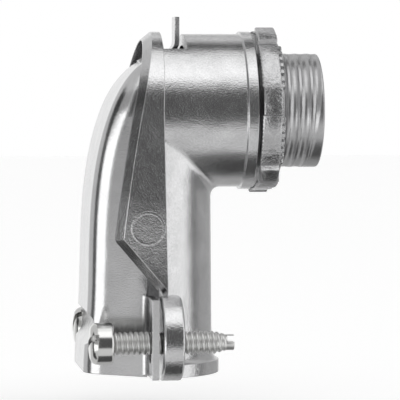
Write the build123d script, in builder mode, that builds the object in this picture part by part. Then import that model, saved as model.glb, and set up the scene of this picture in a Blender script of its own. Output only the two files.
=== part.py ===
"""Elbow conduit connector for flexible metal conduit, trade size 1/2, in millimetres.

The row's frame: the origin is on the axis of the threaded hub, in the plane of the shoulder
that bears on the box. +X points out of the hub, +Z is up, and the conduit enters from below,
along -Z. The part is symmetric about the plane Y = 0, apart from how far its screws are turned.

Five pieces: the cast body, the cast cover that hooks into its top and squeezes the conduit,
the locknut on the hub, and the two screws that draw the cover's ears to the body's ears.
"""

import os

from build123d import *

os.makedirs("parts", exist_ok=True)

# Hub: the round chamber that ends in the shoulder and the threaded nipple
HUB_R = 14.1
HUB_BORE_R = 12.0
HUB_LEFT_X = -17.6
SHOULDER_R = 14.55
SHOULDER_WIDTH = 1.8
SHOULDER_ROUND = 0.7
END_WALL = 2.4
THREAD_CORE_R = 10.1
THREAD_LENGTH = 12.7
NIPPLE_CHAMFER = 0.35
THROAT_R = 7.8
THROAT_CHAMFER = 0.8

# Trough: the half-round wall that carries on down to the conduit's mouth
SOCKET_X = -20.9
MOUTH_Z = -48.0
TROUGH_TOP_R = 13.75
TROUGH_LOW_R = 14.05
TROUGH_BORE_R = 12.1
TROUGH_EDGE_X = -18.05
ELBOW_FILLET = 1.6
RIM_R = 15.35
RIM_HEIGHT = 2.3
FLARE_HEIGHT = 2.6
RIM_ROUND = 0.45
STOP_Z = -15.6
STOP_THICKNESS = 1.4
STOP_R = 10.9
GRIP_RIB_ZS = (-37.5, -40.5, -43.5)
GRIP_RIB_R = 11.45
GRIP_RIB_WIDTH = 1.1

# Flange: the arch over the hub's end and the two flat cheeks that hang from it
FLANGE_HALF = 14.5
FLANGE_INNER_HALF = 12.9
ARCH_TOP_Z = 15.0
ARCH_LEFT_X = -19.45
ARCH_RIGHT_X = -16.6
CHEEK_MID = (-22.4, 0.3)
CHEEK_CORNER = (-25.9, -23.3)
CHEEK_FOOT = (-16.45, -34.4)
CHEEK_RIGHT_HIGH_X = -17.2
CHEEK_BEVEL = 1.35

# Notch across the top of the hub, where the cover's hook comes through
NOTCH_FLOOR_Z = 11.3
NOTCH_RIGHT_X = -12.3

# Clamp ears of the body
EAR_THICKNESS = 3.9
EAR_R = 7.65
EAR_Y = 13.4
EAR_Z = -40.8
EAR_ROUND = 0.5
SCREW_Y = 16.9
SCREW_Z = -41.3
EAR_HOLE_R = 2.13

# Cover: a channel with a flat curved back
COVER_HALF = 12.5
COVER_WALL = 1.7
COVER_EDGE_X = -20.1
COVER_CROWN_DROP = 1.0
COVER_CORNER_R = 3.3
COVER_BACK = (
    (-31.4, MOUTH_Z - 2),
    (-30.8, -37.0),
    (-30.3, -22.0),
    (-29.0, -8.9),
    (-25.7, 2.0),
    (-21.4, 7.9),
    (-18.6, 9.8),
)
COVER_EAR_THICKNESS = 1.25
COVER_EAR_OUT = 21.0
COVER_EAR_TOP_Z = -33.3
COVER_EAR_LOW_Z = -47.55
COVER_EAR_HIGH_CORNER = 0.9
COVER_EAR_LOW_CORNER = 4.0
COVER_SLOT_R = 2.4
COVER_SLOT_TRAVEL = 1.5
COVER_EAR_BLEND = 1.0
COVER_MOUTH = ((-36.0, -46.8), (-27.5, -47.35), (COVER_EDGE_X, -47.9))
GROOVE_R = 3.7
GROOVE_X = -33.2
GROOVE_Z = -39.0
CROWN_X = -18.6
CROWN_UNDER_Z = 8.3
HOOK_HALF = 2.3
HOOK_THICKNESS = 0.85
HOOK_TOP_Z = 10.9
HOOK_TIP_X = -13.42
HOOK_TIP_Z = 17.2
HOOK_BEND_R = 2.3

# Locknut
NUT_LEFT_X = 0.85
NUT_THICKNESS = 3.4
NUT_LIP = 0.7
NUT_LIP_R = 14.1
NUT_BORE_R = THREAD_CORE_R + 0.06
NUT_BODY_R = 14.65
NUT_LUG_R = 15.7
NUT_LUG_COUNT = 6
NUT_LUG_WIDTH = 5.2
NUT_LUG_TURN = 7.2
NUT_CHAMFER = 0.3

# Screws
SCREW_R = 2.08
SCREW_TIP_X = -5.0
SCREW_TIP_LENGTH = 2.0
SCREW_TIP_R = 1.45
HEAD_R = 3.73
HEAD_TOP_X = -30.9
HEAD_UNDER_X = -26.7
HEAD_DOME = 1.0
HEAD_ROUND = 0.45
SLOT_WIDTH = 1.15
SLOT_DEPTH = 2.1
NEAR_SLOT_TURN = 22.0
FAR_SLOT_TURN = 46.0


LEG_LENGTH = 2 - MOUTH_Z


def draw_arched_outline(half, top_drop=0.0):
    """Draw, in the open sketch, an arch about the hub's axis with straight legs past the mouth."""
    with Locations((0, -top_drop)):
        Circle(half)
    with Locations((0, -top_drop)):
        Rectangle(2 * half, LEG_LENGTH, align=(Align.CENTER, Align.MAX))


# Hub and nipple, turned about X
with BuildPart() as hub:
    with BuildSketch(Plane.XZ) as hub_profile:
        with BuildLine():
            Polyline(
                (HUB_LEFT_X, 0),
                (HUB_LEFT_X, HUB_R),
                (-SHOULDER_WIDTH - 0.2, HUB_R),
                (-SHOULDER_WIDTH, SHOULDER_R),
                (0, SHOULDER_R),
                (0, THREAD_CORE_R),
                (THREAD_LENGTH - NIPPLE_CHAMFER, THREAD_CORE_R),
                (THREAD_LENGTH, THREAD_CORE_R - NIPPLE_CHAMFER),
                (THREAD_LENGTH, 0),
                close=True,
            )
        make_face()
        outer_corner = hub_profile.vertices().filter_by(
            lambda v: abs(v.Z - SHOULDER_R) < 0.01
        )
        fillet(outer_corner, SHOULDER_ROUND)
    revolve(axis=Axis.X)

# Trough, turned about the socket's axis and cut off at the ears' plane
with BuildPart() as trough:
    with BuildSketch(Plane.XZ.offset(0)) as trough_profile:
        with BuildLine():
            flare_top = MOUTH_Z + RIM_HEIGHT + FLARE_HEIGHT
            Polyline(
                (SOCKET_X + TROUGH_LOW_R, flare_top),
                (SOCKET_X + TROUGH_TOP_R, 0),
                (SOCKET_X, 0),
                (SOCKET_X, MOUTH_Z),
                (SOCKET_X + RIM_R, MOUTH_Z),
                (SOCKET_X + RIM_R, MOUTH_Z + RIM_HEIGHT),
            )
            Spline(
                (SOCKET_X + TROUGH_LOW_R, flare_top),
                (SOCKET_X + RIM_R, MOUTH_Z + RIM_HEIGHT),
                tangents=((0, -1), (1, -0.25)),
            )
        make_face()
        fillet(
            trough_profile.vertices().sort_by(Axis.Z)[:2].sort_by(Axis.X)[-1], RIM_ROUND
        )
    revolve(axis=Axis((SOCKET_X, 0, 0), (0, 0, 1)))
    split(bisect_by=Plane.YZ.offset(TROUGH_EDGE_X), keep=Keep.TOP)

# Flange: the side outline seen from the front, trimmed to the round-topped cross-section
with BuildPart() as flange:
    with BuildSketch(Plane.XZ) as flange_side:
        with BuildLine():
            ThreePointArc((ARCH_LEFT_X, ARCH_TOP_Z), CHEEK_MID, CHEEK_CORNER)
            Polyline(
                CHEEK_CORNER,
                CHEEK_FOOT,
                (CHEEK_RIGHT_HIGH_X, CHEEK_MID[1]),
                (ARCH_RIGHT_X, ARCH_TOP_Z),
                (ARCH_LEFT_X, ARCH_TOP_Z),
            )
        make_face()
    extrude(amount=FLANGE_HALF + 1, both=True)
    with BuildSketch(Plane.YZ.offset(CHEEK_CORNER[0] - 1)):
        draw_arched_outline(FLANGE_HALF)
    extrude(amount=12, mode=Mode.INTERSECT)
    outer_edges = flange.edges().filter_by(
        lambda e: e.center().X < ARCH_LEFT_X + 0.5
        and (e.center().Z > 1 or abs(e.center().Y) > 1 and e.center().Z < -1)
    )
    chamfer(outer_edges, CHEEK_BEVEL)

# One clamp ear, and its mirror image
with BuildPart() as ears:
    with BuildSketch(Plane.YZ.offset(TROUGH_EDGE_X)):
        with Locations((-EAR_Y, EAR_Z), (EAR_Y, EAR_Z)):
            Circle(EAR_R)
    extrude(amount=EAR_THICKNESS)
    fillet(ears.edges().filter_by(GeomType.CIRCLE), EAR_ROUND)

# The body: one casting
with BuildPart() as body:
    add(hub.part)
    add(trough.part)
    elbow_crease = (
        body.edges()
        .filter_by(lambda e: e.geom_type not in (GeomType.LINE, GeomType.CIRCLE))
        .filter_by(lambda e: -16 < e.center().Z < -1 and e.center().X > HUB_LEFT_X + 1)
    )
    fillet(elbow_crease, ELBOW_FILLET)
    add(flange.part)
    add(ears.part)

    # The chamber, with the throat through the nipple
    with BuildSketch(Plane.XZ) as chamber:
        with BuildLine():
            Polyline(
                (CHEEK_CORNER[0] - 8, 0),
                (CHEEK_CORNER[0] - 8, HUB_BORE_R),
                (-END_WALL, HUB_BORE_R),
                (-END_WALL, THROAT_R),
                (THREAD_LENGTH + 1, THROAT_R),
                (THREAD_LENGTH + 1, 0),
                close=True,
            )
        make_face()
        chamfer(
            chamber.vertices().filter_by(
                lambda v: abs(v.X + END_WALL) < 0.01
            ),
            THROAT_CHAMFER,
        )
    revolve(axis=Axis.X, mode=Mode.SUBTRACT)
    # The trough's bore
    with BuildSketch(Plane.XY.offset(MOUTH_Z - 1)):
        with Locations((SOCKET_X, 0)):
            Circle(TROUGH_BORE_R)
    extrude(amount=-MOUTH_Z + 1, mode=Mode.SUBTRACT)
    # The space between the cheeks, which the cover fills
    with BuildSketch(Plane.YZ.offset(CHEEK_CORNER[0] - 8)):
        draw_arched_outline(FLANGE_INNER_HALF)
    extrude(
        amount=CHEEK_RIGHT_HIGH_X - CHEEK_CORNER[0] + 8 - 0.1, mode=Mode.SUBTRACT
    )
    # The flat notch across the hub's top, whose floor breaks into the chamber
    with BuildSketch(Plane.XZ.offset(-HUB_R - 2)):
        with Locations(((ARCH_RIGHT_X + NOTCH_RIGHT_X) / 2, NOTCH_FLOOR_Z + 5)):
            Rectangle(NOTCH_RIGHT_X - ARCH_RIGHT_X, 10)
    extrude(amount=2 * HUB_R + 4, mode=Mode.SUBTRACT)
    # The screw holes in the ears
    with BuildSketch(Plane.YZ.offset(TROUGH_EDGE_X - 1)):
        with Locations((-SCREW_Y, SCREW_Z), (SCREW_Y, SCREW_Z)):
            Circle(EAR_HOLE_R)
    extrude(amount=EAR_THICKNESS + 3, mode=Mode.SUBTRACT)
    # The stop that the conduit's end meets, and the ribs that grip its armour
    with BuildSketch(Plane.XZ) as ledges:
        with Locations(
            (SOCKET_X + (STOP_R + TROUGH_BORE_R + 0.5) / 2, STOP_Z - STOP_THICKNESS / 2)
        ):
            Rectangle(TROUGH_BORE_R + 0.5 - STOP_R, STOP_THICKNESS)
        for rib_z in GRIP_RIB_ZS:
            with Locations(
                (SOCKET_X + (GRIP_RIB_R + TROUGH_BORE_R + 0.5) / 2, rib_z)
            ):
                Rectangle(TROUGH_BORE_R + 0.5 - GRIP_RIB_R, GRIP_RIB_WIDTH)
    with BuildPart(mode=Mode.PRIVATE) as ledge_rings:
        revolve(ledges.sketch, axis=Axis((SOCKET_X, 0, 0), (0, 0, 1)))
        split(bisect_by=Plane.YZ.offset(-16.2), keep=Keep.TOP)
    add(ledge_rings.part)

# The cover's back, seen from the front, from below the mouth up to the crown
with BuildLine() as cover_back:
    Spline(*COVER_BACK, tangents=((-0.06, 1), (1, 0.55)))


def cover_form(setback, right_x):
    """The cover's form, or its hollow when it is set in from that form by the wall."""
    back = cover_back.edges()[0]
    steps = 2 * len(COVER_BACK)
    set_in = [
        back @ (i / steps) + (back % (i / steps)).rotate(Axis.Z, -90) * setback
        for i in range(steps + 1)
    ]
    with BuildPart() as form:
        with BuildSketch(Plane.XZ):
            with BuildLine():
                Spline(*set_in)
                Polyline(
                    set_in[-1],
                    (right_x, set_in[-1].Y),
                    (right_x, set_in[0].Y),
                    set_in[0],
                )
            make_face()
        extrude(amount=COVER_HALF + 1, both=True)
        with BuildSketch(Plane.YZ.offset(-36)):
            draw_arched_outline(COVER_HALF - setback, COVER_CROWN_DROP)
        extrude(amount=22, mode=Mode.INTERSECT)
        corners = form.edges().filter_by(
            lambda e: e.geom_type == GeomType.BSPLINE
            and (abs(e.center().Y) > 1 or e.center().X > -29)
        )
        fillet(corners, COVER_CORNER_R - setback)
        # The groove across the back, whose inner side is the bead that grips the conduit
        with BuildSketch(Plane.XZ):
            with Locations((GROOVE_X, GROOVE_Z)):
                Circle(GROOVE_R + setback)
        extrude(amount=COVER_HALF + 1, both=True, mode=Mode.SUBTRACT)
    return form.part


with BuildPart() as cover:
    add(cover_form(0.0, HUB_LEFT_X))
    add(cover_form(COVER_WALL, HUB_LEFT_X + 1.0), mode=Mode.SUBTRACT)
    # Trimmed at the mouth, along the ears' plane and under the arch
    with BuildSketch(Plane.XZ):
        Polygon(
            *COVER_MOUTH,
            (COVER_EDGE_X, CROWN_UNDER_Z - 1.5),
            (CROWN_X, CROWN_UNDER_Z),
            (CROWN_X, HUB_R),
            (COVER_MOUTH[0][0], HUB_R),
            align=None,
        )
    extrude(amount=COVER_HALF + 1, both=True, mode=Mode.INTERSECT)
    # The hook: a tongue that passes under the arch and turns up through the notch
    with BuildSketch(Plane.XZ):
        with BuildLine():
            FilletPolyline(
                (CROWN_X - 1.6, CROWN_UNDER_Z + 0.5),
                (CROWN_X + 1.0, HOOK_TOP_Z - HOOK_THICKNESS / 2),
                (HOOK_TIP_X, HOOK_TOP_Z - HOOK_THICKNESS / 2),
                (HOOK_TIP_X, HOOK_TIP_Z),
                radius=HOOK_BEND_R,
            )
        trace(line_width=HOOK_THICKNESS)
    extrude(amount=HOOK_HALF, both=True)
    # The ears, level with the body's
    with BuildSketch(Plane.YZ.offset(COVER_EDGE_X)) as cover_ears:
        for side in (-1, 1):
            with Locations((side * COVER_EAR_OUT, COVER_EAR_LOW_Z)):
                Rectangle(
                    COVER_EAR_OUT - COVER_HALF + COVER_WALL,
                    COVER_EAR_TOP_Z - COVER_EAR_LOW_Z,
                    align=(Align.MAX if side > 0 else Align.MIN, Align.MIN),
                )
        ear_corners = cover_ears.vertices().filter_by(
            lambda v: abs(abs(v.Y) - COVER_EAR_OUT) < 0.01
        )
        fillet(ear_corners.filter_by(lambda v: v.Z > GROOVE_Z), COVER_EAR_HIGH_CORNER)
        fillet(ear_corners.filter_by(lambda v: v.Z < GROOVE_Z), COVER_EAR_LOW_CORNER)
        with Locations(
            (-SCREW_Y, SCREW_Z - COVER_SLOT_TRAVEL / 2 + 0.2),
            (SCREW_Y, SCREW_Z - COVER_SLOT_TRAVEL / 2 + 0.2),
        ):
            SlotCenterToCenter(
                COVER_SLOT_TRAVEL, 2 * COVER_SLOT_R, rotation=90, mode=Mode.SUBTRACT
            )
    extrude(amount=COVER_EAR_THICKNESS)
    ear_roots = cover.edges().filter_by(
        lambda e: abs(e.center().X - COVER_EDGE_X) < 0.01
        and abs(abs(e.center().Y) - COVER_HALF) < 0.01
        and e.geom_type == GeomType.LINE
        and e.length > 10
        and e.center().Z < COVER_EAR_TOP_Z
    )
    fillet(ear_roots, COVER_EAR_BLEND)

with BuildPart() as locknut:
    with BuildSketch(Plane.YZ.offset(NUT_LEFT_X)) as nut_outline:
        with BuildSketch(mode=Mode.PRIVATE) as lugs:
            with PolarLocations(0, NUT_LUG_COUNT, start_angle=180 - NUT_LUG_TURN):
                with Locations((NUT_LUG_R / 2, 0)):
                    Rectangle(NUT_LUG_R + 1, NUT_LUG_WIDTH)
            Circle(NUT_LUG_R, mode=Mode.INTERSECT)
        Circle(NUT_BODY_R)
        add(lugs.sketch)
        Circle(NUT_BORE_R, mode=Mode.SUBTRACT)
    extrude(amount=NUT_THICKNESS)
    chamfer(
        locknut.faces().sort_by(Axis.X)[0].edges()
        + locknut.faces().sort_by(Axis.X)[-1].edges(),
        NUT_CHAMFER,
    )
    # The lip that stands out on the outer face
    with BuildSketch(Plane.YZ.offset(NUT_LEFT_X + NUT_THICKNESS)):
        Circle(NUT_LIP_R)
        Circle(NUT_BORE_R, mode=Mode.SUBTRACT)
    extrude(amount=NUT_LIP)


def screw(side, slot_turn):
    """A slotted round-head screw whose tip tapers to start it in the ear's hole."""
    with BuildPart() as one_screw:
        with BuildSketch(Plane.XZ):
            with BuildLine():
                RadiusArc(
                    (HEAD_TOP_X, 0),
                    (HEAD_TOP_X + HEAD_DOME, HEAD_R),
                    (HEAD_R**2 + HEAD_DOME**2) / (2 * HEAD_DOME),
                )
                Polyline(
                    (HEAD_TOP_X + HEAD_DOME, HEAD_R),
                    (HEAD_UNDER_X - HEAD_ROUND, HEAD_R),
                    (HEAD_UNDER_X - HEAD_ROUND / 3, HEAD_R - HEAD_ROUND / 3),
                    (HEAD_UNDER_X, HEAD_R - HEAD_ROUND),
                    (HEAD_UNDER_X, SCREW_R),
                    (SCREW_TIP_X - SCREW_TIP_LENGTH, SCREW_R),
                    (SCREW_TIP_X, SCREW_TIP_R),
                    (SCREW_TIP_X, 0),
                    (HEAD_TOP_X, 0),
                )
            make_face()
        revolve(axis=Axis.X)
        with BuildSketch(Plane.YZ.offset(HEAD_TOP_X - 1)):
            with Locations(Location((0, 0), slot_turn)):
                Rectangle(2 * HEAD_R + 2, SLOT_WIDTH)
        extrude(amount=SLOT_DEPTH + 1, mode=Mode.SUBTRACT)
    return one_screw.part.moved(Location((0, side * SCREW_Y, SCREW_Z)))


near_screw = screw(-1, -NEAR_SLOT_TURN)
far_screw = screw(1, -FAR_SLOT_TURN)

body.part.label = "body"
cover.part.label = "cover"
locknut.part.label = "locknut"
near_screw.label = "near_screw"
far_screw.label = "far_screw"

export_step(body.part, "parts/body.step")
export_step(cover.part, "parts/cover.step")
export_step(locknut.part, "parts/locknut.step")
export_step(near_screw, "parts/near_screw.step")
export_step(far_screw, "parts/far_screw.step")
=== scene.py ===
"""Looks of an elbow conduit connector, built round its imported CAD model.

Everything is in metres in the part's own frame: the hub's axis is X, Z is up, and the conduit
comes in from below. The cast body and cover are the CAD nodes with a cast finish. The hub's
thread, the toothed locknut, the threaded screws and an ejector pin's line are surfaces worked
out here with numpy.
"""

import logging
import math
from collections.abc import Iterable, Sequence
from dataclasses import dataclass, field
from enum import Enum

import bmesh
import bpy
import numpy as np
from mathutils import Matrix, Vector

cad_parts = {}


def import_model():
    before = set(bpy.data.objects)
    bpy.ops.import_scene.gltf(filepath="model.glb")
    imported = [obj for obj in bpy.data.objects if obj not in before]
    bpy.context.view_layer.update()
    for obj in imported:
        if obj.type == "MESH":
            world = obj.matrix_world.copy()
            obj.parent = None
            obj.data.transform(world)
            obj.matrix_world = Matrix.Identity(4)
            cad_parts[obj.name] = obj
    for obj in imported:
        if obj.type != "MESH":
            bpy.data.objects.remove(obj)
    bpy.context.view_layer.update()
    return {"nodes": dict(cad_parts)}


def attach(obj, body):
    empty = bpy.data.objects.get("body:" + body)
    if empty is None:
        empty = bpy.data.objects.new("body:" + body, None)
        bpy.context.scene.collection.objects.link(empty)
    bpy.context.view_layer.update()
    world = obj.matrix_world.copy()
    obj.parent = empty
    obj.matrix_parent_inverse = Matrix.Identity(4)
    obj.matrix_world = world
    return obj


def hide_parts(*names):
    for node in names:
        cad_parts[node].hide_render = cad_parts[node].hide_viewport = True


MM = 0.001
MERGE_DISTANCE = 2e-7
SHORTEST_EDGE = 1e-8
WHITE = (1.0, 1.0, 1.0, 1.0)
Signal = float | bpy.types.NodeSocket
log = logging.getLogger("connector")


class Side(Enum):
    """Which side of the mid-plane a clamp screw is on."""

    NEAR = -1
    FAR = 1


def smooth_step(low: float, high: float, value: np.ndarray) -> np.ndarray:
    """Rise smoothly from 0 at low to 1 at high.

    Formula: t is the value's place between low and high, kept in 0 to 1, and the result is
    three t squared less two t cubed.

    Args:
        low: The value at and below which the result is 0.
        high: The value at and above which the result is 1.
        value: The values to map.

    Returns:
        The mapped values, as an array of the same shape.
    """
    t = np.clip((value - low) / (high - low), 0.0, 1.0)
    return t * t * (3.0 - 2.0 * t)


def grid_faces(rows: int, columns: int, wrap_rows: bool, wrap_columns: bool) -> np.ndarray:
    """Index the four corners of each cell of a grid of points.

    Args:
        rows: How many rows of points there are.
        columns: How many points each row has.
        wrap_rows: Whether the last row joins the first.
        wrap_columns: Whether the last column joins the first.

    Returns:
        An array of cells by four point numbers.
    """
    r = np.arange(rows if wrap_rows else rows - 1)
    c = np.arange(columns if wrap_columns else columns - 1)
    r, c = np.meshgrid(r, c, indexing="ij")
    r_next, c_next = (r + 1) % rows, (c + 1) % columns
    corners = (r * columns + c, r * columns + c_next,
               r_next * columns + c_next, r_next * columns + c)
    return np.stack(corners, axis=-1).reshape(-1, 4)


def mesh_object(name: str, points: np.ndarray, cells: np.ndarray,
                caps: Sequence[Sequence[int]] = (),
                sharp_angle: float = 38.0) -> bpy.types.Object:
    """Make a smooth-shaded, closed mesh object from points in millimetres.

    Coincident points are merged, which closes seams and poles, and the faces are then turned
    outwards. Edges that are sharper than the given angle stay sharp.

    Args:
        name: The object's name.
        points: Points by three coordinates, in millimetres.
        cells: Cells by four point numbers.
        caps: Further faces, each a sequence of point numbers.
        sharp_angle: The angle in degrees above which an edge is sharp.

    Returns:
        The new object, linked to the scene, at the origin.
    """
    mesh = bpy.data.meshes.new(name)
    faces = cells.tolist() + [list(cap) for cap in caps]
    mesh.from_pydata((points.reshape(-1, 3) * MM).tolist(), [], faces)
    work = bmesh.new()
    work.from_mesh(mesh)
    bmesh.ops.remove_doubles(work, verts=work.verts, dist=MERGE_DISTANCE)
    bmesh.ops.dissolve_degenerate(work, edges=work.edges, dist=SHORTEST_EDGE)
    bmesh.ops.recalc_face_normals(work, faces=work.faces)
    work.to_mesh(mesh)
    work.free()
    mesh.shade_smooth()
    mesh.set_sharp_from_angle(angle=math.radians(sharp_angle))
    thing = bpy.data.objects.new(name, mesh)
    bpy.context.scene.collection.objects.link(thing)
    return thing


class NodeWriter:
    """Writes nodes into one node tree, with short calls for the ones used here."""

    def __init__(self, tree: bpy.types.NodeTree) -> None:
        """Keep the tree that the nodes go into.

        Args:
            tree: The node tree.
        """
        self.tree = tree

    def add(self, kind: str, **settings) -> bpy.types.Node:
        """Add a node.

        Args:
            kind: The node's type name, without its ShaderNode prefix.
            **settings: Properties to set on it.

        Returns:
            The new node.
        """
        node = self.tree.nodes.new("ShaderNode" + kind)
        for key, value in settings.items():
            setattr(node, key, value)
        return node

    def join(self, source: bpy.types.NodeSocket, target: bpy.types.NodeSocket) -> None:
        """Link an output socket to an input socket.

        Args:
            source: The output socket.
            target: The input socket.
        """
        self.tree.links.new(source, target)

    def math(self, operation: str, *values: Signal) -> bpy.types.NodeSocket:
        """Add a Math node.

        Args:
            operation: The Math node's operation.
            *values: Its inputs, each a number or an output socket.

        Returns:
            The node's output socket.
        """
        node = self.add("Math", operation=operation)
        for socket, value in zip(node.inputs, values):
            if isinstance(value, (int, float)):
                socket.default_value = value
            else:
                self.join(value, socket)
        return node.outputs[0]

    def noise(self, detail: float, roughness: float = 0.5) -> bpy.types.Node:
        """Add a noise texture in three dimensions.

        Args:
            detail: How many finer layers it has.
            roughness: How strong each finer layer is beside the one before.

        Returns:
            The noise node.
        """
        node = self.add("TexNoise", noise_dimensions="3D")
        node.inputs["Detail"].default_value = detail
        node.inputs["Roughness"].default_value = roughness
        return node

    def ramp(self, value: bpy.types.NodeSocket, low: float, high: float, start: float = 0.0,
             end: float = 1.0) -> bpy.types.NodeSocket:
        """Map a value smoothly from one level to another.

        Args:
            value: The output socket to map.
            low: The value at and below which the result is start.
            high: The value at and above which the result is end.
            start: The result's first level.
            end: The result's last level.

        Returns:
            The result's output socket.
        """
        node = self.add("MapRange", interpolation_type="SMOOTHSTEP")
        self.join(value, node.inputs["Value"])
        for label, level in (("From Min", low), ("From Max", high), ("To Min", start),
                             ("To Max", end)):
            node.inputs[label].default_value = level
        return node.outputs["Result"]

    def band(self, value: bpy.types.NodeSocket, low: float, high: float,
             soft: float) -> bpy.types.NodeSocket:
        """Make a mask that is 1 between two values and fades over a soft edge.

        Args:
            value: The output socket to test.
            low: The band's lower edge.
            high: The band's upper edge.
            soft: The width of each edge's fade.

        Returns:
            The mask's output socket.
        """
        rise = self.ramp(value, low - soft / 2, low + soft / 2)
        fall = self.ramp(value, high - soft / 2, high + soft / 2, 1.0, 0.0)
        return self.math("MULTIPLY", rise, fall)


def cast_grain_group() -> bpy.types.ShaderNodeTree:
    """Build the group that gives a surface the fine grain of metal poured into a die.

    The height is fine noise with broader swells under it. The tone varies slowly over the
    surface, and the roughness follows the fine grain.

    Returns:
        The node group, with named inputs and outputs.
    """
    name = "fine_cast_grain"
    if name in bpy.data.node_groups:
        return bpy.data.node_groups[name]
    group = bpy.data.node_groups.new(name, "ShaderNodeTree")
    face = group.interface
    for label, kind, value in (
        ("Vector", "NodeSocketVector", None),
        ("Grains per metre", "NodeSocketFloat", 2600.0),
        ("Swells per metre", "NodeSocketFloat", 260.0),
        ("Swell height", "NodeSocketFloat", 0.5),
        ("Roughness", "NodeSocketFloat", 0.3),
        ("Roughness spread", "NodeSocketFloat", 0.08),
        ("Tone spread", "NodeSocketFloat", 0.08),
        ("Colour", "NodeSocketColor", (0.6, 0.6, 0.6, 1.0)),
    ):
        socket = face.new_socket(label, in_out="INPUT", socket_type=kind)
        if value is not None:
            socket.default_value = value
    for label, kind in (("Colour", "NodeSocketColor"), ("Roughness", "NodeSocketFloat"),
                        ("Height", "NodeSocketFloat")):
        face.new_socket(label, in_out="OUTPUT", socket_type=kind)
    write = NodeWriter(group)
    source = group.nodes.new("NodeGroupInput")
    result = group.nodes.new("NodeGroupOutput")
    fine = write.noise(detail=3.0, roughness=0.6)
    swell = write.noise(detail=2.0)
    for node, label in ((fine, "Grains per metre"), (swell, "Swells per metre")):
        write.join(source.outputs["Vector"], node.inputs["Vector"])
        write.join(source.outputs[label], node.inputs["Scale"])
    raised = write.math("MULTIPLY", swell.outputs["Fac"], source.outputs["Swell height"])
    write.join(write.math("ADD", fine.outputs["Fac"], raised), result.inputs["Height"])
    offset = write.math("SUBTRACT", fine.outputs["Fac"], 0.5)
    spread = write.math("MULTIPLY", offset, source.outputs["Roughness spread"])
    write.join(write.math("ADD", source.outputs["Roughness"], spread), result.inputs["Roughness"])
    tone = write.math("MULTIPLY", write.math("SUBTRACT", swell.outputs["Fac"], 0.5),
                      source.outputs["Tone spread"])
    speck = write.math("MULTIPLY", offset, source.outputs["Tone spread"])
    factor = write.math("ADD", write.math("ADD", tone, speck), 1.0)
    scaled = write.add("VectorMath", operation="SCALE")
    write.join(source.outputs["Colour"], scaled.inputs[0])
    write.join(factor, scaled.inputs["Scale"])
    write.join(scaled.outputs["Vector"], result.inputs["Colour"])
    return group


@dataclass(frozen=True)
class Crown:
    """A smooth rise along Z that bends only the shading. Sizes are in millimetres.

    Attributes:
        low_z: Where the rise starts.
        high_z: Where the rise ends.
        height: How far the surface seems to rise.
    """

    low_z: float
    high_z: float
    height: float


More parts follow.
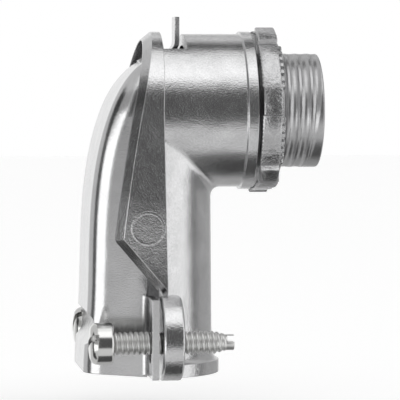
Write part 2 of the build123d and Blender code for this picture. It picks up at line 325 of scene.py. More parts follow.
@dataclass(frozen=True)
class MetalFinish:
    """A bare metal finish: its colour, gloss and grain.

    Attributes:
        name: The material's name.
        colour: The metal's linear colour.
        roughness: The roughness between the grains' highs and lows.
        roughness_spread: How far the grain moves the roughness.
        tone_spread: How far the grain moves the tone.
        grains_per_metre: The scale of the fine noise.
        swells_per_metre: The scale of the broad noise.
        swell_height: The swells' height beside the grains'.
        bump_strength: How strongly the grain bends the shading.
        bump_depth_mm: The grain's depth.
        edge_mm: The radius that sharp edges seem to have.
        draft: How much the faces seem to lean, as a rise per length along Z.
        crown: A rise along Z, if the faces seem to have one.
        satin_past_x_mm: Where along X the finish turns satin, if it does.
        satin_gain: How much the roughness grows there.
    """

    name: str
    colour: tuple[float, float, float]
    roughness: float
    roughness_spread: float
    tone_spread: float
    grains_per_metre: float
    swells_per_metre: float
    swell_height: float
    bump_strength: float
    bump_depth_mm: float
    edge_mm: float = 0.2
    draft: float = 0.0
    crown: Crown | None = None
    satin_past_x_mm: float | None = None
    satin_gain: float = 0.0

    def grain(self, write: NodeWriter, place: bpy.types.NodeSocket) -> bpy.types.Node:
        """Add the cast grain with this finish's values.

        Args:
            write: The writer for the material's node tree.
            place: The Object coordinates' output socket.

        Returns:
            The group node.
        """
        node = write.add("Group")
        node.node_tree = cast_grain_group()
        for label, value in (
            ("Grains per metre", self.grains_per_metre),
            ("Swells per metre", self.swells_per_metre),
            ("Swell height", self.swell_height),
            ("Roughness", self.roughness),
            ("Roughness spread", self.roughness_spread),
            ("Tone spread", self.tone_spread),
            ("Colour", (*self.colour, 1.0)),
        ):
            node.inputs[label].default_value = value
        write.join(place, node.inputs["Vector"])
        return node

    def facing(self, write: NodeWriter, z: bpy.types.NodeSocket) -> bpy.types.NodeSocket:
        """Work out the normal under the grain, from the edges' rounding, the draft and the crown.

        Args:
            write: The writer for the material's node tree.
            z: The output socket of the Object coordinates' Z.

        Returns:
            The normal's output socket.
        """
        edge = write.add("Bevel", samples=6)
        edge.inputs["Radius"].default_value = self.edge_mm * MM
        if not self.draft and self.crown is None:
            return edge.outputs["Normal"]
        raised = 0.0
        if self.crown is not None:
            rise = write.ramp(z, self.crown.low_z * MM, self.crown.high_z * MM)
            raised = write.math("MULTIPLY", rise, self.crown.height * MM)
        lean = write.add("Bump")
        lean.inputs["Distance"].default_value = 1.0
        write.join(write.math("MULTIPLY_ADD", z, self.draft, raised), lean.inputs["Height"])
        write.join(edge.outputs["Normal"], lean.inputs["Normal"])
        return lean.outputs["Normal"]

    def material(self) -> bpy.types.Material:
        """Make the finish's material, or return it if it has been made.

        Returns:
            The material, which reads Object coordinates.
        """
        if self.name in bpy.data.materials:
            return bpy.data.materials[self.name]
        material = bpy.data.materials.new(self.name)
        material.use_nodes = True
        material.node_tree.nodes.clear()
        write = NodeWriter(material.node_tree)
        place = write.add("TexCoord").outputs["Object"]
        split = write.add("SeparateXYZ")
        write.join(place, split.inputs[0])
        grain = self.grain(write, place)
        bump = write.add("Bump")
        bump.inputs["Strength"].default_value = self.bump_strength
        bump.inputs["Distance"].default_value = self.bump_depth_mm * MM
        write.join(grain.outputs["Height"], bump.inputs["Height"])
        write.join(self.facing(write, split.outputs["Z"]), bump.inputs["Normal"])
        roughness = grain.outputs["Roughness"]
        if self.satin_past_x_mm is not None:
            past = write.math("GREATER_THAN", split.outputs["X"], self.satin_past_x_mm * MM)
            gain = write.math("MULTIPLY", past, self.satin_gain)
            roughness = write.math("ADD", gain, roughness)
        shader = write.add("BsdfPrincipled")
        shader.inputs["Metallic"].default_value = 1.0
        write.join(grain.outputs["Colour"], shader.inputs["Base Color"])
        write.join(roughness, shader.inputs["Roughness"])
        write.join(bump.outputs["Normal"], shader.inputs["Normal"])
        out = write.add("OutputMaterial")
        write.join(shader.outputs["BSDF"], out.inputs["Surface"])
        return material


BODY_CAST = MetalFinish(
    name="satin_die_cast_zinc", colour=(0.66, 0.66, 0.665),
    roughness=0.20, roughness_spread=0.04, tone_spread=0.34,
    grains_per_metre=3400.0, swells_per_metre=240.0, swell_height=2.0,
    bump_strength=0.9, bump_depth_mm=0.048,
    crown=Crown(low_z=-31.0, high_z=-14.0, height=1.3))
COVER_CAST = MetalFinish(
    name="smooth_die_cast_zinc", colour=(0.66, 0.66, 0.665),
    roughness=0.20, roughness_spread=0.04, tone_spread=0.26,
    grains_per_metre=3600.0, swells_per_metre=160.0, swell_height=1.5,
    bump_strength=0.9, bump_depth_mm=0.017, draft=0.17)
NUT_CAST = MetalFinish(
    name="dull_die_cast_zinc", colour=(0.54, 0.54, 0.545),
    roughness=0.25, roughness_spread=0.05, tone_spread=0.45,
    grains_per_metre=2800.0, swells_per_metre=420.0, swell_height=3.2,
    bump_strength=0.9, bump_depth_mm=0.065, edge_mm=0.12)
THREAD_CAST = MetalFinish(
    name="smooth_cast_thread", colour=(0.52, 0.52, 0.525),
    roughness=0.32, roughness_spread=0.05, tone_spread=0.30,
    grains_per_metre=2800.0, swells_per_metre=300.0, swell_height=0.8,
    bump_strength=0.8, bump_depth_mm=0.022, edge_mm=0.06)
PLATED_STEEL = MetalFinish(
    name="bright_plated_steel", colour=(0.72, 0.72, 0.71),
    roughness=0.18, roughness_spread=0.05, tone_spread=0.08,
    grains_per_metre=5200.0, swells_per_metre=500.0, swell_height=0.6,
    bump_strength=0.25, bump_depth_mm=0.012, edge_mm=0.08,
    satin_past_x_mm=-26.6, satin_gain=0.2)


@dataclass
class HubThread:
    """The coarse cast thread round the hub's nipple. Sizes are in millimetres."""

    start_x: float = 0.02  # where the sleeve starts, just past the shoulder
    end_x: float = 12.7
    crest_r: float = 10.5
    groove: float = 0.33  # the groove's depth
    groove_half: float = 0.82  # half the groove's width
    rag: float = 0.05  # how far the crests' edges wander
    # For each wave of that wandering, its waves per turn and its slide along X.
    rag_waves: tuple[tuple[int, int], ...] = ((23, 5), (41, -3), (67, 0))
    joint_fill: float = 0.75  # the share of the groove that is full at the mould's joint
    joint_deg: float = 13.0  # how far round from the joint the filling reaches
    bury_r: float = 9.3  # the radius of the sleeve's hidden inside
    pitch: float = 2.08
    fade_from_x: float = 10.9  # where the groove starts to fade, half-way up
    fade_length: float = 1.1
    fade_slant: float = 1.3  # how much later it fades above than half-way up
    end_round: float = 0.3  # the rounding of the end
    end_first: float = 0.1  # the share of the rounding's quarter turn at which its first row is
    turn: float = 0.04  # the share of a pitch by which the thread is turned
    steps_along: int = 190  # rows of points along the straight part
    steps_end: int = 8  # rows of points on the rounding
    steps_round: int = 216

    def radius(self, x: np.ndarray, theta: np.ndarray) -> np.ndarray:
        """Work out the thread's radius.

        Formula: the place in the pitch is the fraction of x less the pitch times the turn. The
        groove is a round hollow, an arc through its middle's depth and its two edges, and a
        narrow flat crest with slightly ragged edges is left between two turns. The groove is
        shallow along the mould's joint at the top and bottom, and it fades out towards the end,
        sooner below than above. The last of the length is rounded off by a quarter circle.

        Args:
            x: Distances along the axis.
            theta: Angles round the axis, in radians.

        Returns:
            The radius at each place.
        """
        phase = (x / self.pitch - theta / (2 * np.pi) + self.turn) % 1.0
        ragged = sum(np.sin(turns * theta + slide * x) for turns, slide in self.rag_waves)
        half = self.groove_half + self.rag * ragged / len(self.rag_waves)
        off = np.abs(phase - 0.5) * self.pitch
        arc_r = (half**2 + self.groove**2) / (2 * self.groove)
        arc = np.sqrt(np.clip(arc_r**2 - off**2, 0.0, None))
        dip = np.clip(arc - arc_r + self.groove, 0.0, None)
        from_joint = np.degrees(np.arccos(np.clip(np.abs(np.sin(theta)), 0.0, 1.0)))
        shallow = 1.0 - self.joint_fill * np.exp(-((from_joint / self.joint_deg) ** 2))
        fade_from = self.fade_from_x + self.fade_slant * np.sin(theta)
        fade = 1.0 - smooth_step(0.0, self.fade_length, x - fade_from)
        r = self.crest_r - dip * fade * shallow
        past = np.clip((x - self.end_x + self.end_round) / self.end_round, 0.0, 1.0)
        return r - self.end_round * (1.0 - np.sqrt(1.0 - past**2))

    def build(self) -> bpy.types.Object:
        """Build the thread as a closed sleeve round the CAD nipple.

        The profile goes along the outside, over the rounded end and back inside the nipple's
        wall, and it is carried once round the axis.

        Returns:
            The thread's object, which rides on the body.
        """
        along = np.linspace(self.start_x, self.end_x - self.end_round, self.steps_along)
        quarter = np.linspace(self.end_first, 1.0, self.steps_end) * np.pi / 2
        end = self.end_x - self.end_round * (1 - np.sin(quarter))
        x_out = np.concatenate([along, end])
        theta = np.linspace(0, 2 * np.pi, self.steps_round, endpoint=False)
        x, a = np.meshgrid(x_out, theta, indexing="ij")
        r = self.radius(x, a)
        x_in = np.array([self.end_x, self.start_x])
        x = np.vstack([x, np.repeat(x_in[:, None], theta.size, axis=1)])
        a = np.vstack([a, np.repeat(theta[None, :], 2, axis=0)])
        r = np.vstack([r, np.full((2, theta.size), self.bury_r)])
        points = np.stack([x, -r * np.cos(a), r * np.sin(a)], axis=-1)
        cells = grid_faces(points.shape[0], points.shape[1], True, True)
        thread = mesh_object("hub_thread", points, cells, sharp_angle=50)
        thread.data.materials.append(THREAD_CAST.material())
        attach(thread, "body")
        return thread


@dataclass
class ToothedLocknut:
    """The locknut: a ring with lugs and finely serrated edges. Sizes are in millimetres."""

    left_x: float = 0.75  # where its inner face is
    thickness: float = 3.5
    bore_r: float = 10.56
    bore_chamfer: float = 0.3  # the chamfer at both ends of the bore
    inner_face_r: float = 12.6  # a radius on the flat inner face
    outer_face_r: float = 12.4  # a radius on the flat outer face
    rim_r: float = 14.65
    lug_r: float = 15.7
    lug_count: int = 6
    lug_half_deg: float = 9.8  # half a lug's width, at half its height
    lug_slope_deg: float = 1.2  # the width of a lug's side
    lug_turn_deg: float = 7.2  # how far the lugs are turned from the near side
    lug_blend: float = 0.3  # the share of a lug's height over which the teeth vanish
    edge_round: float = 0.26  # the rounding of the rim's edges
    inner_teeth: int = 115  # how many teeth the inner edge has
    inner_tooth: float = 0.11  # their height along the axis
    # Their cosine wave's levels at the gap and at the full height.
    inner_wave: tuple[float, float] = (0.3, 0.8)
    inner_root: float = 0.25  # how far in from the rounding their roots are
    lip: float = 0.70  # how far the lip stands out of the outer face
    lip_r: float = 14.35  # the lip's radius on a tooth
    lip_drop: float = 1.3  # how far the lip's radius drops at a lug
    lip_draft: float = 0.05  # how much wider the lip is at its foot than at its edge
    lip_round: float = 0.2  # the rounding of its edge
    lip_foot: float = 0.02  # the height of its foot
    outer_teeth: int = 60  # how many teeth the lip has
    outer_tooth: float = 0.75  # their height across the axis
    # Their cosine wave's levels at the gap and at the full height.
    outer_wave: tuple[float, float] = (0.25, 0.6)
    columns: int = 1080

    def rim(self, theta: np.ndarray) -> np.ndarray:
        """Work out the rim's radius.

        Formula: the angle from the nearest lug's middle gives a smooth step up from the
        recess's radius to the lug's radius.

        Args:
            theta: Angles round the axis, in radians.

        Returns:
            The radius at each angle.
        """
        step = 360.0 / self.lug_count
        degrees = np.degrees(theta) - self.lug_turn_deg
        away = np.abs((degrees + step / 2) % step - step / 2)
        low = self.lug_half_deg - self.lug_slope_deg / 2
        rise = 1.0 - smooth_step(low, low + self.lug_slope_deg, away)
        return self.rim_r + (self.lug_r - self.rim_r) * rise

    @staticmethod
    def teeth(theta: np.ndarray, count: int, low: float, high: float) -> np.ndarray:
        """Make a smooth-sided wave that is 1 on a tooth and 0 in the gap beside it.

        Args:
            theta: Angles round the axis, in radians.
            count: How many teeth go round.
            low: The cosine wave's level at and below which there is a gap.
            high: The cosine wave's level at and above which a tooth has its full height.

        Returns:
            The wave's value at each angle.
        """
        return smooth_step(low, high, 0.5 + 0.5 * np.cos(theta * count))

    def build(self) -> bpy.types.Object:
        """Build the ring as a closed profile carried round the axis.

        Formula: the profile's corners lie at set distances in from the rim's radius. Between
        the lugs the inner edge is pushed out along the axis at every tooth, and on the outer
        face a lip stands out whose radius drops between its teeth. At the lugs both vanish.

        Returns:
            The locknut's object, which stands for the CAD locknut.
        """
        theta = np.linspace(0, 2 * np.pi, self.columns, endpoint=False)
        rim = self.rim(theta)
        lug_share = (rim - self.rim_r) / (self.lug_r - self.rim_r)
        at_lug = smooth_step(0.0, self.lug_blend, lug_share)
        inner_teeth = self.teeth(theta, self.inner_teeth, *self.inner_wave)
        outer_teeth = self.teeth(theta, self.outer_teeth, *self.outer_wave)
        inner = self.inner_tooth * inner_teeth * (1 - at_lug)
        outer = self.outer_tooth * (1 - outer_teeth)
        lip_r = self.lip_r - outer * (1 - at_lug) - self.lip_drop * at_lug
        left, right, edge = self.left_x, self.left_x + self.thickness, self.edge_round
        lip_x = right + self.lip
        rows = []
        for x, r in (
            (left, self.bore_r + self.bore_chamfer),
            (left, self.inner_face_r),
            (left, rim - edge - self.inner_root),
            (left - inner, rim - edge),
            (left - inner * 0.9, rim - edge * 0.55),
            (left + edge * 0.30 - inner * 0.4, rim - edge * 0.25),
            (left + edge, rim),
            (left + self.thickness * 0.5, rim),
            (right - edge, rim),
            (right - edge * 0.30, rim - edge * 0.28),
            (right, rim - edge),
            (right + self.lip_foot, lip_r + self.lip_draft),
            (right + self.lip * 0.25, lip_r),
            (right + self.lip * 0.8, lip_r - self.lip_draft),
            (lip_x, lip_r - self.lip_round),
            (lip_x, self.outer_face_r),
            (lip_x, self.bore_r + self.bore_chamfer),
            (lip_x - self.bore_chamfer, self.bore_r),
            (left + self.bore_chamfer, self.bore_r),
        ):
            x = np.broadcast_to(np.asarray(x, float), theta.shape)
            rows.append(np.stack([x, -r * np.cos(theta), r * np.sin(theta)], axis=-1))
        points = np.stack(rows)
        cells = grid_faces(points.shape[0], points.shape[1], True, True)
        nut = mesh_object("toothed_locknut", points, cells, sharp_angle=32)
        nut.data.materials.append(NUT_CAST.material())
        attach(nut, "locknut")
        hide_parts("locknut")
        return nut


@dataclass
class SlottedDisc:
    """A round end face with a straight slot across it. Sizes are in millimetres."""

    radius: float
    length: float  # the wall's length below the face
    slot_low: float  # where the slot starts across the disc
    slot_high: float  # where it ends
    slot_depth: float
    dome: float  # how far the face has fallen at the rim
    top_round: float  # the rounding between the face and the wall
    base_round: float  # the rounding at the wall's foot
    rows_each: int = 16  # rows of points on each side of the slot
    columns: int = 21
    slot_rows: int = 4  # rows of points in the slot
    wall_steps: int = 6  # points down each wall

    def points(self) -> tuple[np.ndarray, list]:
        """Work out the surface, with the slot along the second axis and the face upwards.

        Formula: a row crosses the disc at one distance w from the slot's direction, and its
        half-length is the root of the radius squared less w squared. The height falls from
        the middle with the square of the distance, is rounded off at the rim, and drops to
        the slot's floor between the slot's edges. Beyond each end the row goes on down the
        wall, whose foot is rounded under.

        Returns:
            Rows by columns by (w, along, height), and the cap that closes the base.
        """
        r = self.radius
        low_turn, high_turn = np.arcsin(self.slot_low / r), np.arcsin(self.slot_high / r)
        below = r * np.sin(np.linspace(-np.pi / 2, low_turn, self.rows_each))
        above = r * np.sin(np.linspace(high_turn, np.pi / 2, self.rows_each))
        inside = np.linspace(self.slot_low, self.slot_high, self.slot_rows)
        w = np.concatenate([below, inside, above])
        in_slot = np.repeat([False, True, False], [below.size, inside.size, above.size])
        half = np.sqrt(np.clip(r * r - w * w, 0.0, None))
        t = np.sin(np.linspace(-np.pi / 2, np.pi / 2, self.columns))
        along = half[:, None] * t[None, :]
        across = np.repeat(w[:, None], self.columns, axis=1)
        distance = np.hypot(along, across)
        near_rim = np.clip((distance - r + self.top_round) / self.top_round, 0.0, 1.0)
        height = -self.dome * (distance / r) ** 2
        height -= self.top_round * (1.0 - np.sqrt(1.0 - near_rim**2))
        floor = np.minimum(height, -self.slot_depth)
        height = np.where(in_slot[:, None], floor, height)
        face = np.stack([across, along, height], axis=-1)
        turn = np.linspace(0.0, 1.0, self.wall_steps) * np.pi / 2
        inset = self.base_round * (1.0 - np.cos(turn))
        level = -self.length + self.base_round * (1.0 - np.sin(turn))
        walls = []
        for column in (0, self.columns - 1):
            rim = face[:, column, :]
            wall = np.repeat(rim[:, None, :], turn.size, axis=1)
            wall[:, :, :2] *= (1.0 - inset / r)[None, :, None]
            wall[:, :, 2] = level[None, :]
            walls.append(wall)
        points = np.concatenate([walls[0][:, ::-1], face, walls[1]], axis=1)
        n_rows, n_columns = points.shape[:2]
        left = [i * n_columns for i in range(n_rows)]
        right = [i * n_columns + n_columns - 1 for i in range(n_rows)]
        return points, [left + right[::-1]]


@dataclass
class ClampScrew:
    """A slotted screw with a cutting tip, which draws the cover's ear to the body's ear.

    Sizes are in millimetres.
    """

    side: Side
    slot_turn_deg: float
    node: str
    out_y: float = 16.9  # its axis's distance from the mid-plane
    z: float = -41.3  # its axis's height
    head_top_x: float = -31.1
    thread_r: float = 2.09
    core_r: float = 1.72
    pitch: float = 0.97
    ridge_flat: float = 0.15  # the share of a ridge's half-width that is at full height
    shank_from_x: float = -27.6  # where the shank starts, inside the head
    taper_from_x: float = -8.6  # where the thread starts to taper
    tip_x: float = -6.35  # where the taper ends
    tip_r: float = 1.42  # the crest radius there
    tip_ridge: float = 0.06  # the ridge's height there
    end_x: float = -5.0  # where the cutting tip ends
    steps_along: int = 300  # rows of points along the shank
    steps_round: int = 48
    head: SlottedDisc = field(default_factory=lambda: SlottedDisc(
        radius=3.73, length=4.4, slot_low=-0.58, slot_high=0.58, slot_depth=1.6,
        dome=0.45, top_round=1.15, base_round=0.6, rows_each=24, columns=37))
    tip: SlottedDisc = field(default_factory=lambda: SlottedDisc(
        radius=1.42, length=2.6, slot_low=0.12, slot_high=1.22, slot_depth=1.3,
        dome=0.0, top_round=0.12, base_round=0.05, rows_each=10, columns=11))

    def shank(self) -> tuple[np.ndarray, np.ndarray, list]:
        """Work out the threaded shank.

        Formula: the place in the pitch is the fraction of x less the pitch times the turn, and
        the ridge is a smooth step up to the crest. The crest's radius falls in a straight line
        from the taper's start to the tip.

        Returns:
            The points, the cells and the two end caps.
        """
        x_line = np.linspace(self.shank_from_x, self.tip_x, self.steps_along)
        theta = np.linspace(0, 2 * np.pi, self.steps_round, endpoint=False)
        x, a = np.meshgrid(x_line, theta, indexing="ij")
        phase = (x / self.pitch - a / (2 * np.pi)) % 1.0
        ridge = 1.0 - smooth_step(self.ridge_flat, 1.0, np.abs(2 * phase - 1))
        taper = np.clip((x - self.taper_from_x) / (self.tip_x - self.taper_from_x), 0.0, 1.0)
        crest = self.thread_r + (self.tip_r - self.thread_r) * taper
        core = self.core_r + (self.tip_r - self.tip_ridge - self.core_r) * taper
        r = core + (crest - core) * ridge
        points = np.stack([x, r * np.cos(a), r * np.sin(a)], axis=-1)
        cells = grid_faces(x_line.size, theta.size, False, True)
        last = (x_line.size - 1) * theta.size
        return points, cells, [list(range(theta.size)), list(range(last, last + theta.size))]

    def build(self) -> bpy.types.Object:
        """Build the head, shank and cutting tip and join them into one piece.

        Returns:
            The screw's object, which stands for its CAD node.
        """
        shells = []
        for disc, face_x, direction, turn_deg in (
            (self.head, self.head_top_x, -1.0, self.slot_turn_deg),
            (self.tip, self.end_x, 1.0, 0.0),
        ):
            local, caps = disc.points()
            across, along, height = local[..., 0], local[..., 1], local[..., 2]
            angle = math.radians(turn_deg)
            y = along * math.cos(angle) - across * math.sin(angle)
            z = along * math.sin(angle) + across * math.cos(angle)
            points = np.stack([face_x + direction * height, y, z], axis=-1)
            cells = grid_faces(points.shape[0], points.shape[1], False, False)
            shells.append((points, cells, caps))
        shells.append(self.shank())
        all_points, all_cells, all_caps, offset = [], [], [], 0
        for points, cells, caps in shells:
            flat = points.reshape(-1, 3)
            all_points.append(flat)
            all_cells.append(cells + offset)
            all_caps += [[i + offset for i in cap] for cap in caps]
            offset += len(flat)
        axis = np.array([0.0, self.side.value * self.out_y, self.z])
        placed = np.concatenate(all_points) + axis
        screw = mesh_object(f"threaded_{self.node}", placed, np.concatenate(all_cells), all_caps,
                            sharp_angle=34)
        screw.data.materials.append(PLATED_STEEL.material())
        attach(screw, self.node)
        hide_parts(self.node)
        return screw


@dataclass
class EjectorDisc:
    """The plain round witness line that an ejector pin leaves on the near cheek.

    Sizes are in millimetres.
    """

    x: float = -20.1  # the line's middle along the hub's axis
    z: float = -21.0  # the line's middle along the height
    face_y: float = -14.5  # where the cheek's face is
    line_r: float = 2.8
    line_width: float = 0.13  # the bell curve's width
    line_height: float = 0.022
    plain_r: float = 2.3  # the radius up to which the disc is plain
    fine_r: float = 2.4  # the radius from which its rows are close together
    outer_r: float = 3.15
    proud: float = 0.012  # how far the disc stands out of the cheek, so that it isn't hidden in it
    skirt: float = 0.02  # how much wider the disc is at its foot
    bury: float = 0.2  # how deep its foot is in the cheek
    steps_plain: int = 5  # rows of points on the plain middle
    steps_fine: int = 16
    steps_round: int = 96

    def build(self) -> bpy.types.Object:
        """Build a shallow disc with one raised round line near its rim.

        Formula: the height is a bell curve of the distance from the line's radius.

        Returns:
            The disc's object, which rides on the body.
        """
        r_line = np.concatenate([np.linspace(0.0, self.plain_r, self.steps_plain),
                                 np.linspace(self.fine_r, self.outer_r, self.steps_fine)])
        theta = np.linspace(0, 2 * np.pi, self.steps_round, endpoint=False)
        bell = np.exp(-(((r_line - self.line_r) / self.line_width) ** 2))
        height = self.proud + self.line_height * bell
        r_line = np.append(r_line, [self.outer_r + self.skirt, 0.0])
        height = np.append(height, [-self.bury, -self.bury])
        r, a = np.meshgrid(r_line, theta, indexing="ij")
        y = np.repeat((self.face_y - height)[:, None], theta.size, axis=1)
        points = np.stack([self.x + r * np.cos(a), y, self.z + r * np.sin(a)], axis=-1)
        cells = grid_faces(points.shape[0], points.shape[1], False, True)
        disc = mesh_object("ejector_disc", points, cells)
        disc.data.materials.append(BODY_CAST.material())
        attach(disc, "body")
        return disc


@dataclass
class Castings:
    """The body and the cover: CAD nodes that keep their shape and get a cast finish.

    Attributes:
        finishes: Each casting's finish, by the name of its node.
    """

    finishes: dict[str, MetalFinish] = field(
        default_factory=lambda: {"body": BODY_CAST, "cover": COVER_CAST})

    def dress(self, nodes: dict[str, bpy.types.Object]) -> None:
        """Give each casting its finish.

        Args:
            nodes: The frame's CAD objects by name.
        """
        for name, finish in self.finishes.items():
            casting = nodes[name]
            casting.data.materials.clear()
            casting.data.materials.append(finish.material())
            log.info("dressed %s as %s", name, finish.name)


@dataclass(frozen=True)
class Panel:
    """A soft-edged panel of the room that the metal mirrors.

    Attributes:
        low: The angle in degrees at which it starts.
        high: The angle in degrees at which it ends.
        soft: The width of its soft edges, in degrees.
        brightness: Its brightness, where 1 is white.
        floor: The Z of a direction at which it starts. Only panels round the horizon use it.
        ceiling: The Z at which it ends.
    """

    low: float
    high: float
    soft: float
    brightness: float
    floor: float = -0.6
    ceiling: float = 0.6


@dataclass
class Studio:
    """The pale floor, the soft light all round and the camera. Lengths are in metres."""

    floor_z: float = -0.056
    floor_half: float = 1.6
    floor_tone: float = 0.82
    floor_glow: float = 0.45  # the light that the floor adds where it is seen directly
    camera_at: tuple[float, float, float] = (-0.073404, -0.497709, 0.006402)
    # The point that the camera and the lamp look at.
    camera_aim: tuple[float, float, float] = (-0.008893, 0.0, -0.016542)
    lens_mm: float = 244.6
    sensor_mm: float = 36.0
    # The nearest and the farthest distance that the camera sees.
    clip: tuple[float, float] = (0.01, 20.0)
    lamp_at: tuple[float, float, float] = (0.05, -0.55, 0.75)
    lamp_size: float = 0.7
    lamp_watts: float = 0.4
    room_tone: float = 0.66  # the room's brightness between its panels
    # The panels by their angle from the front over the top, where 90 is straight up.
    over_panels: tuple[Panel, ...] = (
        Panel(129, 190, 6, 0.95),
        Panel(101, 126, 5, 0.08),
        Panel(42, 98, 6, 1.14),
        Panel(-20, 40, 5, 0.09),
        Panel(-64, -23, 5, 0.74),
        Panel(-116, -66, 6, 0.08),
        Panel(-190, -118, 8, 0.48),
    )
    # The directions, by their X, in which those panels are: low, high, soft edge.
    over_x: tuple[float, float, float] = (-0.1, 0.5, 0.16)
    # The panels by their angle from the front round the horizon, where 90 is the hub's side.
    round_panels: tuple[Panel, ...] = (
        Panel(-74, -15, 5, 1.7, floor=-0.5, ceiling=-0.02),
        Panel(-65, -15, 6, 0.40, floor=0.02),
        Panel(-104, -77, 4, 0.12, floor=-0.95),
        Panel(-112, -66, 6, 0.06, floor=0.09),
        Panel(-112, -66, 6, 0.06, floor=-0.95, ceiling=-0.5),
        Panel(-190, -116, 12, 0.65),
        Panel(38, 72, 4, 1.13),
        Panel(73, 83, 3, 1.5),
        Panel(84, 98, 4, 0.02),
        Panel(99, 190, 6, 0.44),
    )
    level_soft: float = 0.1  # the soft edge of their floors and ceilings
    behind_y: float = 0.92  # the Y of a direction past which it counts as behind the object
    behind_soft: float = 0.1  # the soft edge of that

    @staticmethod
    def seen_directly(write: NodeWriter, path: bpy.types.Node) -> bpy.types.NodeSocket:
        """Find out whether the camera sees a place directly or through something clear.

        Args:
            write: The writer for the node tree.
            path: The tree's Light Path node.

        Returns:
            The output socket of a value that is 1 where it does.
        """
        camera, through = path.outputs["Is Camera Ray"], path.outputs["Is Transmission Ray"]
        return write.math("MAXIMUM", camera, through)

    def floor(self) -> None:
        """Lay the pale floor, which is white to the camera and keeps the object's shadow."""
        half = self.floor_half
        corners = np.array([[-half, -half], [half, -half], [half, half], [-half, half]])
        points = np.column_stack([corners, np.full(4, self.floor_z)])
        mesh = bpy.data.meshes.new("studio_floor")
        mesh.from_pydata(points.tolist(), [], [(0, 1, 2, 3)])
        floor = bpy.data.objects.new("studio_floor", mesh)
        bpy.context.scene.collection.objects.link(floor)
        material = bpy.data.materials.new("pale_floor")
        material.use_nodes = True
        material.node_tree.nodes.clear()
        write = NodeWriter(material.node_tree)
        seen = self.seen_directly(write, write.add("LightPath"))
        matt = write.add("BsdfDiffuse")
        matt.inputs["Color"].default_value = (*[self.floor_tone] * 3, 1.0)
        glow = write.add("Emission")
        write.join(write.math("MULTIPLY", seen, self.floor_glow), glow.inputs["Strength"])
        both = write.add("AddShader")
        write.join(matt.outputs[0], both.inputs[0])
        write.join(glow.outputs[0], both.inputs[1])
        out = write.add("OutputMaterial")
        write.join(both.outputs[0], out.inputs["Surface"])
        mesh.materials.append(material)
        floor.visible_glossy = False

    @staticmethod
    def painted(write: NodeWriter, tone: Signal, part: bpy.types.NodeSocket,
                brightness: float) -> bpy.types.NodeSocket:
        """Change the room's tone to a panel's brightness where the panel's mask is 1.

        Args:
            write: The writer for the room's node tree.
            tone: The tone so far, as a number or an output socket.
            part: The mask's output socket.
            brightness: The panel's brightness.

        Returns:
            The new tone's output socket.
        """
        change = write.math("SUBTRACT", brightness, tone)
        return write.math("ADD", write.math("MULTIPLY", part, change), tone)

    def surroundings(self) -> None:
        """Light the object from a room of soft white panels with darker gaps between them.

        The room's brightness depends only on direction: one angle goes from the front over
        the top, and the other goes round the horizon. Behind the object the background is plain
        white, and the metal shows that at its edges. The camera sees plain white all round.
        """
        world = bpy.data.worlds.new("soft_room")
        bpy.context.scene.world = world
        world.use_nodes = True
        world.node_tree.nodes.clear()
        write = NodeWriter(world.node_tree)
        place = write.add("TexCoord")
        split = write.add("SeparateXYZ")
        write.join(place.outputs["Generated"], split.inputs[0])
        x, y, z = split.outputs
        front = write.math("MULTIPLY", y, -1.0)
        over = write.math("MULTIPLY", write.math("ARCTAN2", z, front), 180 / math.pi)
        round_about = write.math("MULTIPLY", write.math("ARCTAN2", x, front), 180 / math.pi)
        middle = write.band(x, *self.over_x)
        tone = self.room_tone
        for panel in self.over_panels:
            part = write.band(over, panel.low, panel.high, panel.soft)
            part = write.math("MULTIPLY", part, middle)
            tone = self.painted(write, tone, part, panel.brightness)
        for panel in self.round_panels:
            level = write.band(z, panel.floor, panel.ceiling, self.level_soft)
            part = write.band(round_about, panel.low, panel.high, panel.soft)
            part = write.math("MULTIPLY", part, level)
            tone = self.painted(write, tone, part, panel.brightness)
        path = write.add("LightPath")
        behind = write.ramp(y, self.behind_y - self.behind_soft / 2,
                            self.behind_y + self.behind_soft / 2)
        mirrored = write.math("MULTIPLY", path.outputs["Is Glossy Ray"], behind)
        seen = write.math("MAXIMUM", self.seen_directly(write, path), mirrored)
        room = write.add("Background")
        room.inputs["Color"].default_value = WHITE
        write.join(tone, room.inputs["Strength"])
        white = write.add("Background")
        white.inputs["Color"].default_value = WHITE
        white.inputs["Strength"].default_value = 1.0
        mix = write.add("MixShader")
        write.join(seen, mix.inputs[0])
        write.join(room.outputs[0], mix.inputs[1])
        write.join(white.outputs[0], mix.inputs[2])
        out = write.add("OutputWorld")
        write.join(mix.outputs[0], out.inputs["Surface"])

    def aimed(self, data: bpy.types.Light | bpy.types.Camera,
              at: tuple[float, float, float]) -> bpy.types.Object:
        """Put a lamp or a camera in its place and turn it to the point that both look at.

        Args:
            data: The lamp's or the camera's data.
            at: Its place.

        Returns:
            The new object, linked to the scene, with the data's name.
        """
        thing = bpy.data.objects.new(data.name, data)
        thing.location = at
        aim = Vector(self.camera_aim) - Vector(at)
        thing.rotation_euler = aim.to_track_quat("-Z", "Y").to_euler()
        bpy.context.scene.collection.objects.link(thing)
        return thing

    def lamp(self) -> None:
        """Hang one large soft lamp above and in front of the object."""
        panel = bpy.data.lights.new("top_panel", "AREA")
        panel.shape = "SQUARE"
        panel.size = self.lamp_size
        panel.energy = self.lamp_watts
        self.aimed(panel, self.lamp_at)

    def camera(self) -> None:
        """Set up the camera at the photograph's angle and distance."""
        lens = bpy.data.cameras.new("photo_camera")
        lens.lens = self.lens_mm
        lens.sensor_fit = "AUTO"
        lens.sensor_width = self.sensor_mm
        lens.clip_start, lens.clip_end = self.clip
        bpy.context.scene.camera = self.aimed(lens, self.camera_at)

    def build(self) -> None:
        """Build the floor, surroundings, lamp and camera, and set the plain view transform."""
        self.floor()
        self.surroundings()
        self.lamp()
        self.camera()
        bpy.context.scene.view_settings.view_transform = "Standard"


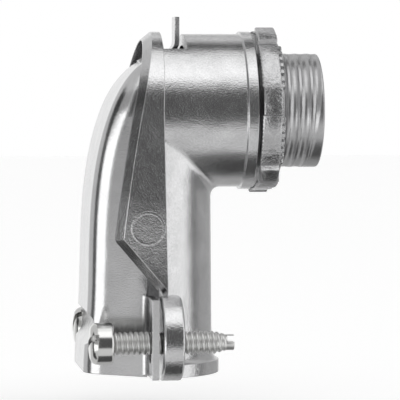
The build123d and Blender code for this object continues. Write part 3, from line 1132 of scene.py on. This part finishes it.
def main() -> None:
    """Load the frame, dress the castings, build the other pieces and the studio."""
    logging.basicConfig(level=logging.INFO, format="%(name)s: %(message)s")
    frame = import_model()
    Castings().dress(frame["nodes"])
    for maker in (
        HubThread(),
        ToothedLocknut(),
        EjectorDisc(),
        ClampScrew(Side.NEAR, slot_turn_deg=-22.0, node="near_screw"),
        ClampScrew(Side.FAR, slot_turn_deg=-46.0, node="far_screw"),
    ):
        piece = maker.build()
        log.info("built %s with %d faces", piece.name, len(piece.data.polygons))
    Studio().build()


if __name__ == "__main__":
    main()
